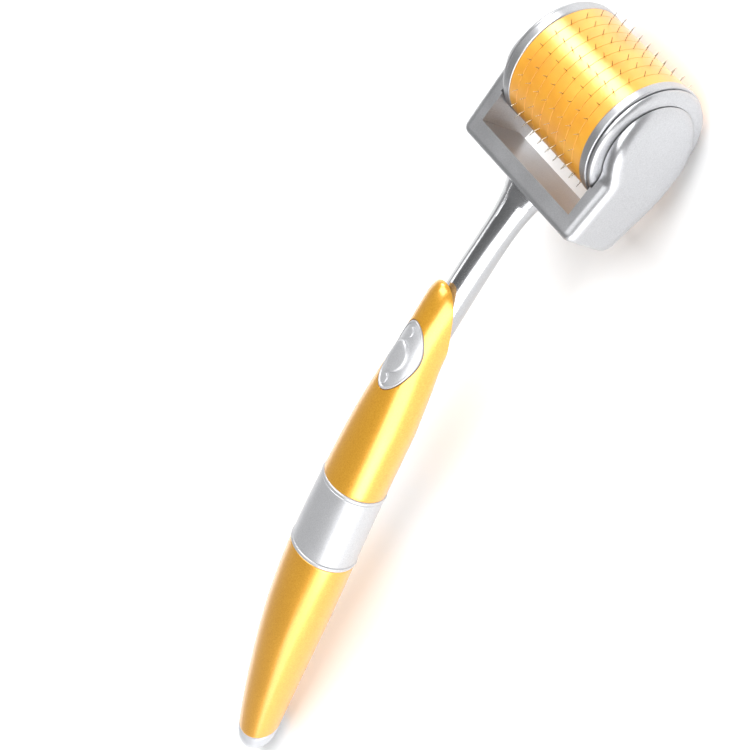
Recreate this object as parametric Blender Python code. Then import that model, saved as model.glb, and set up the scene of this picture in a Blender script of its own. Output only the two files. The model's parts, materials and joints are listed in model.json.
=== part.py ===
"""Needle roller with a spinning drum in a plated yoke, on a curved two-shell handle.

Built in the roller's own directions and laid down by one empty: local X runs along the head's
axis towards its top, local Y along the drum's axis and local Z towards the roller's front.
"""

import math

import bmesh
import bpy
from mathutils import Vector

MM = 0.001

# Drum: rings and star-shaped needle discs stacked on a hub between two end flanges.
DRUM_RADIUS = 10.0 * MM
NEEDLE_TIP_RADIUS = 11.0 * MM
DISC_COUNT = 8
NEEDLES_PER_DISC = 24
NEEDLE_PHASE = math.radians(2.9)
DISC_PITCH = 2.05 * MM
DISC_THICKNESS = 0.25 * MM
STACK_GAP = 0.03 * MM
STACK_HALF = 9.07 * MM
FLANGE_RADIUS = 10.15 * MM
FLANGE_OUTER_FACE = 10.6 * MM
HUB_RADIUS = 4.3 * MM
HUB_BORE = 2.7 * MM
HUB_HALF = 10.0 * MM
BUSHING_END = 10.55 * MM
AXLE_RADIUS = 1.5 * MM
AXLE_HALF = 12.9 * MM
FIT_GAP = 0.1 * MM

# Yoke: a base bar and two arms whose round ends hold the cheek discs.
ARM_INNER_FACE = 11.4 * MM
ARM_ROUND_RADIUS = 8.0 * MM
ARM_ROUND_SHARE = 1.4
ARM_HOLLOW_RADIUS = 3.0 * MM
ARM_ROUNDING = 1.8 * MM
ARM_FOOT_ROUNDING = 1.1 * MM
FRONT_CORNER = 0.9 * MM
BACK_CORNER = 1.7 * MM
CHEEK_RADIUS = 9.85 * MM
CHEEK_INNER_FACE = 10.85 * MM
CHEEK_OUTER_FACE = 11.65 * MM
CHEEK_ROUNDING = 0.7 * MM
BASE_TOP = -13.4 * MM
BASE_BOTTOM = -16.6 * MM
FRONT_FACE = 5.54 * MM
BASE_BACK_FACE = -3.8 * MM
ARM_BACK_LOW = -4.9 * MM

# Handle: a circular arc in the plane of symmetry, measured as an arc length from its top.
ARC_RADIUS = 298.0 * MM
ARC_START = (-20.0 * MM, 1.5 * MM)
ARC_START_ANGLE = math.radians(5.5)
TONGUE_TIP = 15.0 * MM
BAND_TOP = 54.0 * MM
BAND_BOTTOM = 68.8 * MM
LOWER_SHELL_END = 112.0 * MM
TAIL_END = 117.0 * MM
BEAD_WIDTH = 0.7 * MM
WALL = 1.2 * MM
JOINT_GAP = 0.06 * MM

# How the roller lies: its drum and its tail both touch the surface.
LYING_TILT = math.radians(9.953)
DRUM_CENTRE = (62.1 * MM, 0.0, 10.917 * MM)

ROUND_SEGMENTS = 40
SECTION_POINTS = 28

# Position along the head's axis, then the arms' outer faces' distance from the middle.
HEAD_HALF_WIDTHS = [
    (-17.0, 14.35),
    (-11.0, 14.6),
    (-6.0, 14.75),
    (-2.0, 14.3),
    (2.0, 13.55),
    (8.5, 12.5),
]

# Arc length along the handle, then the section's half width, front height and back depth.
HANDLE_SECTIONS = [
    (13.0, 2.7, 4.6, 2.0),
    (15.0, 3.3, 4.8, 2.2),
    (18.0, 3.7, 4.95, 2.4),
    (24.0, 3.75, 5.05, 2.4),
    (28.0, 3.85, 5.05, 2.7),
    (33.0, 4.45, 5.1, 3.6),
    (38.0, 4.95, 5.12, 4.35),
    (42.0, 5.25, 5.15, 4.85),
    (54.0, 5.6, 5.2, 5.2),
    (69.0, 5.9, 5.35, 5.35),
    (76.0, 5.85, 5.35, 5.35),
    (84.0, 5.6, 5.15, 5.15),
    (94.0, 5.0, 4.6, 4.6),
    (104.0, 4.25, 3.9, 3.9),
    (112.0, 3.55, 3.25, 3.25),
    (117.4, 2.8, 2.55, 2.55),
]

NECK_SECTIONS = [
    (-3.0, 3.9, 3.4, 3.2),
    (-1.5, 3.3, 3.0, 2.9),
    (2.0, 2.75, 2.7, 2.6),
    (6.0, 2.55, 2.75, 2.45),
    (12.0, 2.55, 2.95, 2.45),
    (18.0, 2.55, 3.05, 2.45),
    (26.0, 2.5, 3.0, 2.4),
    (40.0, 2.4, 2.6, 2.4),
]

OVAL_CENTRE = 28.4 * MM
OVAL_LENGTH = 12.6 * MM
OVAL_WIDTH = 5.9 * MM
OVAL_DEPTH = 1.0 * MM


def clear_scene():
    for old in list(bpy.data.objects):
        bpy.data.objects.remove(old, do_unlink=True)


def make_material(name, colour, metallic, roughness):
    made = bpy.data.materials.new(name)
    made.use_nodes = True
    shader = made.node_tree.nodes["Principled BSDF"]
    shader.inputs["Base Color"].default_value = (*colour, 1.0)
    shader.inputs["Metallic"].default_value = metallic
    shader.inputs["Roughness"].default_value = roughness
    return made


def add_empty(name, location, parent=None):
    empty = bpy.data.objects.new(name, None)
    bpy.context.scene.collection.objects.link(empty)
    empty.location = location
    empty.parent = parent
    return empty


def add_object(name, shape, material, parent):
    bmesh.ops.recalc_face_normals(shape, faces=shape.faces)
    mesh = bpy.data.meshes.new(name)
    shape.to_mesh(mesh)
    shape.free()
    mesh.shade_smooth()
    mesh.set_sharp_from_angle(angle=math.radians(35))
    if material:
        mesh.materials.append(material)
    made = bpy.data.objects.new(name, mesh)
    bpy.context.scene.collection.objects.link(made)
    made.parent = parent
    return made


def add_cutter(name, shape, parent):
    cutter = add_object(name, shape, None, parent)
    cutter.hide_render = True
    cutter.display_type = "WIRE"
    return cutter


def combine(target, other, operation):
    boolean = target.modifiers.new(other.name, "BOOLEAN")
    boolean.operation = operation
    boolean.solver = "EXACT"
    boolean.object = other


def loft(rings):
    """A closed solid through rings of the same number of points, with a face on each end."""
    shape = bmesh.new()
    rows = [[shape.verts.new(point) for point in ring] for ring in rings]
    for row, following in zip(rows, rows[1:]):
        join_rows(shape, row, following)
    shape.faces.new(rows[0])
    shape.faces.new(rows[-1])
    return shape


def sleeve(outer_rings, inner_rings):
    """A closed wall between an outer and an inner skin, open at both ends."""
    shape = bmesh.new()
    rows = [[shape.verts.new(point) for point in ring] for ring in outer_rings]
    rows += [[shape.verts.new(point) for point in ring] for ring in reversed(inner_rings)]
    for row, following in zip(rows, rows[1:] + rows[:1]):
        join_rows(shape, row, following)
    return shape


def join_rows(shape, row, following):
    count = len(row)
    for i in range(count):
        j = (i + 1) % count
        shape.faces.new((row[i], row[j], following[j], following[i]))


def turned(profile, segments=ROUND_SEGMENTS):
    """A ring turned about Y from a closed outline of (radius, y) points clear of the axis."""
    rings = []
    for radius, y in profile:
        turn = [2 * math.pi * i / segments for i in range(segments)]
        rings.append([(radius * math.cos(a), y, radius * math.sin(a)) for a in turn])
    return sleeve(rings, [])


def turned_solid(profile, segments=ROUND_SEGMENTS):
    """A solid turned about Y from an open run of (radius, y) points, flat at both ends."""
    rings = []
    for radius, y in profile:
        turn = [2 * math.pi * i / segments for i in range(segments)]
        rings.append([(radius * math.cos(a), y, radius * math.sin(a)) for a in turn])
    return loft(rings)


def ring_outline(inner, outer, low, high, rounding=0.0):
    """The cross-section of a flat ring, with its two outer corners cut by rounding."""
    if not rounding:
        return [(inner, low), (outer, low), (outer, high), (inner, high)]
    return [
        (inner, low),
        (outer - rounding, low),
        (outer, low + rounding),
        (outer, high - rounding),
        (outer - rounding, high),
        (inner, high),
    ]


def smooth_value(table, column, at):
    """A value between the rows of a table, along a smooth curve through them."""
    rows = [(row[0] * MM, row[column] * MM) for row in table]
    at = min(max(at, rows[0][0]), rows[-1][0])
    i = max(k for k in range(len(rows) - 1) if rows[k][0] <= at or k == 0)
    (x0, y0), (x1, y1) = rows[i], rows[i + 1]
    before = rows[i - 1] if i else rows[0]
    after = rows[i + 2] if i + 2 < len(rows) else rows[-1]
    slope0 = (y1 - before[1]) / (x1 - before[0])
    slope1 = (after[1] - y0) / (after[0] - x0)
    t = (at - x0) / (x1 - x0)
    span = x1 - x0
    rise = (3 - 2 * t) * t * t
    bend0 = t * (1 - t) * (1 - t) * span * slope0
    bend1 = t * t * (t - 1) * span * slope1
    return y0 + (y1 - y0) * rise + bend0 + bend1


def handle_point(along, side, height):
    """A point beside the handle's curved axis; side is along the drum's axis."""
    angle = ARC_START_ANGLE + along / ARC_RADIUS
    x = ARC_START[0] - ARC_RADIUS * (math.sin(angle) - math.sin(ARC_START_ANGLE))
    z = ARC_START[1] - ARC_RADIUS * (math.cos(ARC_START_ANGLE) - math.cos(angle))
    return Vector((x - height * math.sin(angle), side, z + height * math.cos(angle)))


def section_ring(along, half_width, front, back, count=SECTION_POINTS):
    ring = []
    for i in range(count):
        turn = 2 * math.pi * i / count
        height = front if math.sin(turn) > 0 else back
        ring.append(handle_point(along, half_width * math.cos(turn), height * math.sin(turn)))
    return ring


def table_ring(table, along, inset=0.0, front_inset=None, count=SECTION_POINTS):
    if front_inset is None:
        front_inset = inset
    return section_ring(
        along,
        smooth_value(table, 1, along) - inset,
        smooth_value(table, 2, along) - front_inset,
        smooth_value(table, 3, along) - inset,
        count,
    )


def spread(start, end, count):
    return [start + (end - start) * i / (count - 1) for i in range(count)]


def handle_loft(stations, inset=0.0):
    return loft([table_ring(HANDLE_SECTIONS, s, inset) for s in stations])


def handle_sleeve(stations, inner_stations, outer_inset, inner_inset):
    outer = [table_ring(HANDLE_SECTIONS, s, outer_inset) for s in stations]
    inner = [table_ring(HANDLE_SECTIONS, s, inner_inset) for s in inner_stations]
    return sleeve(outer, inner)


def front_height(along, side):
    """Height of the handle's front skin above its axis, at a distance to one side."""
    half_width = smooth_value(HANDLE_SECTIONS, 1, along)
    front = smooth_value(HANDLE_SECTIONS, 2, along)
    return front * math.sqrt(max(0.0, 1 - (side / half_width) ** 2))


def oval_patch(centre, length, width, low, high, rings=4, count=28):
    """An oval slab that follows the handle's front skin, between two offsets from it."""
    def layer(share, offset):
        points = []
        for i in range(count):
            turn = 2 * math.pi * i / count
            along = centre + 0.5 * length * share * math.cos(turn)
            side = 0.5 * width * share * math.sin(turn)
            points.append(handle_point(along, side, front_height(along, side) + offset))
        return points

    shares = [(k + 1) / rings for k in range(rings)]
    layers = [layer(share, low) for share in shares]
    layers += [layer(share, high) for share in reversed(shares)]
    return loft(layers)


def arm_slices(inset, foot_inset):
    """Slices across an arm in side view, as (x, front z, back z), from its foot to its top."""
    foot = BASE_BOTTOM + foot_inset
    front = FRONT_FACE - inset
    back = ARM_BACK_LOW + inset * ARM_ROUND_SHARE
    radius = ARM_ROUND_RADIUS - inset * ARM_ROUND_SHARE
    hollow = ARM_HOLLOW_RADIUS + inset
    hollow_x = -math.sqrt((radius + hollow) ** 2 - (front + hollow) ** 2)
    meeting = math.atan2(front + hollow, hollow_x)
    tangent = radius * math.cos(meeting)
    leaving = math.radians(-102)
    leave_x, leave_z = radius * math.cos(leaving), radius * math.sin(leaving)
    stations = [foot + step * MM for step in (0.0, 0.1, 0.4, 0.9, 1.7, 3.8, 6.4)]
    stations += spread(hollow_x, tangent, 5)[:-1]
    stations += [radius * math.cos(turn) for turn in spread(meeting, math.radians(4), 12)]
    slices = []
    for x in stations:
        if x < hollow_x:
            front_z = front - corner_drop(FRONT_CORNER, x - foot)
        elif x < tangent:
            front_z = front + hollow - math.sqrt(hollow ** 2 - (x - hollow_x) ** 2)
        else:
            front_z = math.sqrt(radius ** 2 - x ** 2)
        if x < leave_x:
            share = (x - foot) / (leave_x - foot)
            back_z = back + share * (leave_z - back) + corner_drop(BACK_CORNER, x - foot)
        else:
            back_z = -math.sqrt(radius ** 2 - x ** 2)
        slices.append((x, front_z, back_z))
    return slices


def corner_drop(radius, distance):
    """How far a rounded corner falls away from its straight side, at a distance from its end."""
    if distance >= radius:
        return 0.0
    return radius - math.sqrt(radius ** 2 - (radius - distance) ** 2)


def yoke_blank():
    """The block that holds both arms and the bar, rounded over on its two outer sides."""
    rings = []
    for side in (-1, 1):
        run = []
        for turn in spread(0.0, math.pi / 2, 5):
            inset = ARM_ROUNDING * (1 - math.cos(turn))
            foot_inset = ARM_FOOT_ROUNDING * (1 - math.cos(turn))
            drop = 1 - math.sin(turn)
            front_ring, back_ring = [], []
            for x, front_z, back_z in arm_slices(inset, foot_inset):
                y = side * (smooth_value(HEAD_HALF_WIDTHS, 1, x) - ARM_ROUNDING * drop)
                front_ring.append((x, y, front_z))
                back_ring.append((x, y, back_z))
            run.append(front_ring + back_ring[::-1])
        rings += run[::-1] if side < 0 else run
    shape = bmesh.new()
    rows = [[shape.verts.new(point) for point in ring] for ring in rings]
    for row, following in zip(rows, rows[1:]):
        join_rows(shape, row, following)
    count = len(rows[0])
    for row in (rows[0], rows[-1]):
        for i in range(count // 2 - 1):
            j = count - 1 - i
            shape.faces.new((row[i], row[i + 1], row[j - 1], row[j]))
    return shape


def box_shape(low, high):
    shape = bmesh.new()
    bmesh.ops.create_cube(shape, size=1.0)
    for vert in shape.verts:
        for axis in range(3):
            vert.co[axis] = low[axis] if vert.co[axis] < 0 else high[axis]
    return shape


def build_yoke(frame, plating):
    """Base bar and both arms in one piece, with pockets for the cheeks, axle and neck tenon."""
    yoke = add_object("yoke_frame", yoke_blank(), plating, frame)
    far = 20 * MM
    opening = [
        (BASE_TOP, far),
        (BASE_TOP, BASE_BACK_FACE),
        (BASE_BOTTOM - MM, BASE_BACK_FACE),
        (BASE_BOTTOM - MM, -far),
        (far, -far),
        (far, far),
    ]
    sides = (-ARM_INNER_FACE, ARM_INNER_FACE)
    opening = loft([[(x, y, z) for x, z in opening] for y in sides])
    combine(yoke, add_cutter("drum_opening", opening, frame), "DIFFERENCE")
    for side, label in ((-1, "right"), (1, "left")):
        ends = sorted((side * (CHEEK_INNER_FACE - MM), side * (CHEEK_OUTER_FACE + JOINT_GAP)))
        seat = turned_solid([(CHEEK_RADIUS + FIT_GAP, y) for y in ends], 64)
        combine(yoke, add_cutter(f"cheek_seat_{label}", seat, frame), "DIFFERENCE")
        ends = sorted((side * ARM_INNER_FACE, side * (AXLE_HALF + FIT_GAP)))
        pocket = turned_solid([(AXLE_RADIUS + FIT_GAP, y) for y in ends], 24)
        combine(yoke, add_cutter(f"axle_pocket_{label}", pocket, frame), "DIFFERENCE")
    low, high = tenon_box(FIT_GAP)
    combine(yoke, add_cutter("tenon_pocket", box_shape(low, high), frame), "DIFFERENCE")


def tenon_box(gap):
    """The block on top of the neck that plugs into the base bar, grown by a gap."""
    low = (BASE_BOTTOM - MM, -2.0 * MM - gap, -0.6 * MM - gap)
    high = (BASE_BOTTOM + 2.0 * MM + gap, 2.0 * MM + gap, 2.8 * MM + gap)
    return low, high


def build_cheeks(frame, plating):
    for side, label in ((-1, "right"), (1, "left")):
        outline = [(AXLE_RADIUS + FIT_GAP, side * CHEEK_INNER_FACE)]
        outline.append((CHEEK_RADIUS, side * CHEEK_INNER_FACE))
        for turn in spread(0.0, math.pi / 2, 4):
            radius = CHEEK_RADIUS - CHEEK_ROUNDING * (1 - math.cos(turn))
            face = CHEEK_OUTER_FACE - CHEEK_ROUNDING * (1 - math.sin(turn))
            outline.append((radius, side * face))
        outline.append((AXLE_RADIUS + FIT_GAP, side * CHEEK_OUTER_FACE))
        add_object(f"cheek_disc_{label}", turned(outline), plating, frame)


def build_axle(frame, steel):
    chamfer = 0.3 * MM
    profile = [
        (AXLE_RADIUS - chamfer, -AXLE_HALF),
        (AXLE_RADIUS, -AXLE_HALF + chamfer),
        (AXLE_RADIUS, AXLE_HALF - chamfer),
        (AXLE_RADIUS - chamfer, AXLE_HALF),
    ]
    add_object("axle_pin", turned_solid(profile, 24), steel, frame)
    for side, label in ((-1, "right"), (1, "left")):
        faces = sorted((side * 10.6 * MM, side * 10.8 * MM))
        outline = ring_outline(AXLE_RADIUS + FIT_GAP, 3.2 * MM, *faces)
        add_object(f"thrust_washer_{label}", turned(outline, 24), steel, frame)


def build_drum(axis, gold, plating, steel, resin):
    hub = ring_outline(HUB_BORE, HUB_RADIUS, -HUB_HALF, HUB_HALF)
    add_object("drum_hub", turned(hub, 32), resin, axis)
    bore = HUB_RADIUS + FIT_GAP
    middle = (DISC_COUNT - 1) / 2
    disc_centres = [(i - middle) * DISC_PITCH for i in range(DISC_COUNT)]
    half_slot = DISC_THICKNESS / 2 + STACK_GAP
    edges = [-STACK_HALF]
    for centre in disc_centres:
        edges += [centre - half_slot, centre + half_slot]
    edges.append(STACK_HALF)
    for number in range(DISC_COUNT + 1):
        low, high = edges[2 * number], edges[2 * number + 1]
        outline = ring_outline(bore, DRUM_RADIUS, low, high)
        add_object(f"drum_ring_{number + 1}", turned(outline), gold, axis)
    for number, centre in enumerate(disc_centres):
        disc = needle_disc(centre, bore)
        add_object(f"needle_disc_{number + 1}", disc, steel, axis)
    for side, label in ((-1, "right"), (1, "left")):
        faces = sorted((side * (STACK_HALF + STACK_GAP), side * FLANGE_OUTER_FACE))
        outline = ring_outline(bore, FLANGE_RADIUS, *faces, rounding=0.2 * MM)
        add_object(f"drum_flange_{label}", turned(outline), plating, axis)
        bushing = [
            (AXLE_RADIUS + FIT_GAP, side * 6.0 * MM),
            (HUB_BORE - FIT_GAP, side * 6.0 * MM),
            (HUB_BORE - FIT_GAP, side * (HUB_HALF + STACK_GAP)),
            (3.9 * MM, side * (HUB_HALF + STACK_GAP)),
            (3.9 * MM, side * BUSHING_END),
            (AXLE_RADIUS + FIT_GAP, side * BUSHING_END),
        ]
        add_object(f"drum_bushing_{label}", turned(bushing, 24), resin, axis)


def needle_disc(centre, bore):
    """A flat steel star: a ring just under the drum's surface with a sharp point per needle."""
    root = DRUM_RADIUS - 0.05 * MM
    half_base = math.radians(1.5)
    shape = bmesh.new()
    sides = []
    for y in (centre - DISC_THICKNESS / 2, centre + DISC_THICKNESS / 2):
        teeth = []
        for i in range(NEEDLES_PER_DISC):
            middle = 2 * math.pi * i / NEEDLES_PER_DISC + NEEDLE_PHASE
            corners = (
                (bore, middle),
                (root, middle - half_base),
                (NEEDLE_TIP_RADIUS, middle),
                (root, middle + half_base),
            )
            teeth.append([shape.verts.new((r * math.cos(a), y, r * math.sin(a))) for r, a in corners])
        sides.append(teeth)
    for i in range(NEEDLES_PER_DISC):
        near, far = sides[0][i], sides[1][i]
        near_next = sides[0][(i + 1) % NEEDLES_PER_DISC]
        far_next = sides[1][(i + 1) % NEEDLES_PER_DISC]
        for tooth, following in ((near, near_next), (far, far_next)):
            shape.faces.new(tooth)
            shape.faces.new((tooth[0], tooth[3], following[1], following[0]))
        for a, b in ((1, 2), (2, 3)):
            shape.faces.new((near[a], near[b], far[b], far[a]))
        shape.faces.new((near[3], near_next[1], far_next[1], far[3]))
        shape.faces.new((near[0], near_next[0], far_next[0], far[0]))
    return shape


def build_neck(frame, plating):
    """The stem under the yoke: a flared top with a tenon, and a tang inside the handle."""
    stations = [-1.5, 0.0, 2.0, 4.0, 7.0, 11.0, 15.0, 20.0, 25.0, 30.0, 35.0, 40.0]
    rings = [table_ring(NECK_SECTIONS, s * MM, count=24) for s in stations]
    top = section_ring(-3.0 * MM, 3.9 * MM, 3.4 * MM, 3.2 * MM, 24)
    flat_top = [(BASE_BOTTOM - JOINT_GAP, point.y, point.z) for point in top]
    neck = add_object("neck_stem", loft([flat_top] + rings), plating, frame)
    low, high = tenon_box(0.0)
    combine(neck, add_cutter("tenon_block", box_shape(low, high), frame), "UNION")


def build_handle(frame, gold, plating, resin, pearl, steel):
    top_stations = [t * MM for t in (13.0, 14.0, 15.0, 16.5, 18.5, 21.0, 24.0, 27.0, 30.0, 34.0)]
    top_stations += [t * MM for t in (38.0, 42.0, 46.0, 50.0)] + [BAND_TOP - JOINT_GAP]
    upper = add_object("upper_handle_shell", handle_loft(top_stations), gold, frame)
    bore = []
    for along in [t * MM for t in (10.0, 15.0, 18.0, 22.0, 26.0, 30.0, 36.0, 44.0, 52.0, 56.0)]:
        side_wall = 0.85 * MM if along < 35 * MM else WALL
        half_width = max(smooth_value(HANDLE_SECTIONS, 1, along) - side_wall, 2.75 * MM)
        front = smooth_value(HANDLE_SECTIONS, 2, along) - 1.6 * MM
        back = max(smooth_value(HANDLE_SECTIONS, 3, along) - side_wall, 2.65 * MM)
        bore.append(section_ring(along, half_width, front, back, 24))
    recess = oval_patch(
        OVAL_CENTRE, OVAL_LENGTH + 2 * FIT_GAP, OVAL_WIDTH + 2 * FIT_GAP, -OVAL_DEPTH, 1.0 * MM
    )
    combine(upper, add_cutter("oval_recess", recess, frame), "DIFFERENCE")
    combine(upper, add_cutter("upper_shell_bore", loft(bore), frame), "DIFFERENCE")
    combine(upper, add_cutter("quill_cut", quill_cutter(), frame), "DIFFERENCE")

    plate_top = -0.2 * MM
    plate = oval_patch(OVAL_CENTRE, OVAL_LENGTH, OVAL_WIDTH, -OVAL_DEPTH + JOINT_GAP, plate_top)
    add_object("inlay_plate", plate, plating, frame)
    on_plate = plate_top + JOINT_GAP
    raised = (
        ("inlay_lug", OVAL_CENTRE + 0.2 * MM, 5.6 * MM, 2.8 * MM, 0.45 * MM),
        ("inlay_bar_upper", OVAL_CENTRE - 4.4 * MM, 1.7 * MM, 0.8 * MM, 0.15 * MM),
        ("inlay_bar_lower", OVAL_CENTRE + 4.6 * MM, 1.6 * MM, 0.8 * MM, 0.15 * MM),
    )
    for name, centre, length, width, height in raised:
        bump = oval_patch(centre, length, width, on_plate, height, rings=2, count=12)
        add_object(name, bump, plating, frame)

    collar_outer = [table_ring(HANDLE_SECTIONS, s, WALL + 0.5 * MM, 2.1 * MM, 24)
                    for s in (36.0 * MM, 39.9 * MM)]
    collar_inner = [section_ring(s, 2.6 * MM, 2.85 * MM, 2.6 * MM, 24)
                    for s in (36.0 * MM, 39.9 * MM)]
    add_object("tang_collar", sleeve(collar_outer, collar_inner), resin, frame)

    spigot_top, spigot_end = 44.0 * MM, 78.0 * MM
    spigot_stations = spread(spigot_top, spigot_end, 6)
    spigot = [section_ring(s, 3.9 * MM, 3.4 * MM, 3.4 * MM, 24) for s in spigot_stations]
    hole = [section_ring(s, 1.6 * MM, 1.6 * MM, 1.6 * MM, 24) for s in spigot_stations]
    add_object("joining_spigot", sleeve(spigot, hole), resin, frame)

    screw = [section_ring(s, r, r, r, 16) for s, r in (
        (40.2 * MM, 1.0 * MM), (46.0 * MM, 1.2 * MM), (52.0 * MM, 1.4 * MM), (56.0 * MM, 1.4 * MM))]
    add_object("tang_screw", loft(screw), steel, frame)

    build_band(frame, plating)
    lower_start = BAND_BOTTOM + JOINT_GAP
    lower_stations = spread(lower_start, LOWER_SHELL_END, 10)
    lower = handle_sleeve(lower_stations, lower_stations, 0.0, WALL)
    add_object("lower_handle_shell", lower, gold, frame)
    build_tail(frame, pearl)


def quill_cutter():
    """A block whose slanting side trims the shell's top from the tongue back to the shoulder."""
    tip = handle_point(TONGUE_TIP, 0.0, 4.95 * MM)
    shoulder = handle_point(34.5 * MM, 0.0, -4.6 * MM)
    slope = (shoulder - tip).normalized()
    start = tip - slope * 12 * MM
    end = shoulder + slope * 6 * MM
    up = Vector((-slope.z, 0.0, slope.x))
    if up.x < 0:
        up = -up
    lift = up * 30 * MM
    rings = []
    for y in (-12 * MM, 12 * MM):
        shift = Vector((0.0, y, 0.0))
        rings.append([start + shift, end + shift, end + lift + shift, start + lift + shift])
    return loft(rings)


def build_band(frame, plating):
    """The plated sleeve at the waist, with a slim proud bead at each end."""
    inner_gap = 4.0 * MM
    def sleeve_between(start, end, proud, crown):
        middle = (start + end) / 2
        stations = (start, middle, end) if crown else spread(start, end, 4)
        insets = (-proud, -proud - crown, -proud) if crown else (-proud,) * 4
        outer = [table_ring(HANDLE_SECTIONS, s, i) for s, i in zip(stations, insets)]
        inner = [section_ring(s, inner_gap, 3.5 * MM, 3.5 * MM) for s in stations]
        return sleeve(outer, inner)

    bead_top = BAND_TOP + BEAD_WIDTH
    bead_bottom = BAND_BOTTOM - BEAD_WIDTH
    upper = sleeve_between(BAND_TOP, bead_top, 0.02 * MM, 0.16 * MM)
    add_object("band_ring_upper", upper, plating, frame)
    body = sleeve_between(bead_top + JOINT_GAP, bead_bottom - JOINT_GAP, 0.05 * MM, 0.0)
    add_object("grip_band", body, plating, frame)
    lower = sleeve_between(bead_bottom, BAND_BOTTOM, 0.02 * MM, 0.16 * MM)
    add_object("band_ring_lower", lower, plating, frame)


def build_tail(frame, pearl):
    """A domed plug whose shank sits inside the lower shell."""
    shank_start = LOWER_SHELL_END - 6.0 * MM
    dome_start = LOWER_SHELL_END + JOINT_GAP
    length = TAIL_END - dome_start
    shank_inset = WALL + 0.15 * MM
    rings = [table_ring(HANDLE_SECTIONS, s, shank_inset) for s in (shank_start, dome_start)]
    for turn in spread(0.0, math.radians(84), 7):
        along = dome_start + length * math.sin(turn)
        size = smooth_value(HANDLE_SECTIONS, 1, dome_start) * math.cos(turn) ** 0.6
        rings.append(section_ring(along, size, size * 0.92, size * 0.92))
    add_object("tail_plug", loft(rings), pearl, frame)


def main():
    clear_scene()
    frame = add_empty("roller_frame", DRUM_CENTRE)
    frame.rotation_euler = (0.0, LYING_TILT, 0.0)
    axis = add_empty("drum_axis", (0.0, 0.0, 0.0), frame)
    gold = make_material("gold_lacquer", (0.86, 0.5, 0.09), 0.85, 0.28)
    plating = make_material("satin_plating", (0.72, 0.73, 0.75), 0.9, 0.32)
    steel = make_material("needle_steel", (0.62, 0.6, 0.58), 1.0, 0.25)
    resin = make_material("inner_resin", (0.8, 0.8, 0.78), 0.0, 0.5)
    pearl = make_material("pearl_cap", (0.9, 0.9, 0.92), 0.3, 0.25)
    build_yoke(frame, plating)
    build_cheeks(frame, plating)
    build_axle(frame, steel)
    build_drum(axis, gold, plating, steel, resin)
    build_neck(frame, plating)
    build_handle(frame, gold, plating, resin, pearl, steel)


main()
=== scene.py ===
"""The look of a needle roller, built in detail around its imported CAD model.

Pieces are made in the roller's own directions, in millimetres, and then laid where the model
lies: local X runs along the head's axis towards its top, local Y along the drum's axle towards
the left arm and local Z out of the roller's front. The drum turns about the local origin.
"""

import json
import math

import bmesh
import bpy
from mathutils import Matrix, Vector


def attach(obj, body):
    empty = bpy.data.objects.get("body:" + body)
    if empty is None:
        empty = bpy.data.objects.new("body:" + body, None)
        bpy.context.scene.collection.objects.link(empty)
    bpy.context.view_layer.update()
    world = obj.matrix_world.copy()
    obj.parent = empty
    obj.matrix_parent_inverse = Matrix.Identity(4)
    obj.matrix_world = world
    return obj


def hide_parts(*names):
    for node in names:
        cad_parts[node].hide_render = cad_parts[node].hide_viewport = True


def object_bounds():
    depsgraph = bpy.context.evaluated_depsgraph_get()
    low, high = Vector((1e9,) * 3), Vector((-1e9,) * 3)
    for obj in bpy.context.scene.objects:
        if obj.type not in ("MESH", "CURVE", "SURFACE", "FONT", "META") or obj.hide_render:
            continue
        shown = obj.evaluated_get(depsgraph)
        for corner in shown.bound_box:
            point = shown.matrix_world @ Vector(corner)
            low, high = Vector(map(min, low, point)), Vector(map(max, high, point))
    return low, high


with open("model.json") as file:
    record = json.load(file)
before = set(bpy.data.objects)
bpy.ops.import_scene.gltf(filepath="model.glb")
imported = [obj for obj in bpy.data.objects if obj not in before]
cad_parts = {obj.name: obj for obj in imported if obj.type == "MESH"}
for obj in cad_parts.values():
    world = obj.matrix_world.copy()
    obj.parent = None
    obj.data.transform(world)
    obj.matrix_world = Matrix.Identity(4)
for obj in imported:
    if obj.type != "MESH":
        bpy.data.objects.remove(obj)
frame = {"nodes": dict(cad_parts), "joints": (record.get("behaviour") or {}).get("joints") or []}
cad_low, cad_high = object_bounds()

LYING_TILT = math.radians(9.953)
DRUM_CENTRE = Vector(frame["joints"][0]["pos_m"])
MM_TO_METRES = Matrix.Scale(0.001, 4)
LAID_DOWN = Matrix.Translation(DRUM_CENTRE) @ Matrix.Rotation(LYING_TILT, 4, "Y")
PLACE = LAID_DOWN @ MM_TO_METRES

# Drum, in millimetres. A needle's flank is (share of its height, half width there).
DRUM_RADIUS = 10.0
STACK_HALF = 9.07
BORE_RADIUS = 4.4
RING_CHAMFER = 0.02
DISC_COUNT = 8
DISC_PITCH = 2.05
DISC_HALF_SLOT = 0.025
DISC_HALF_THICKNESS = 0.03
DISC_EDGE_DEPTH = 0.1
NEEDLE_TIP_RADIUS = 11.0
NEEDLES_PER_DISC = 24
NEEDLE_PHASE = math.radians(2.9)
NEEDLE_FLANK = [(0.0, 0.085), (0.25, 0.065), (0.7, 0.055), (0.88, 0.035), (1.0, 0.003)]
FLANGE_RADIUS = 10.15
FLANGE_OUTER_FACE = 10.6
FLANGE_SEAM = 0.02
FLANGE_ROUNDING = 0.22

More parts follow.
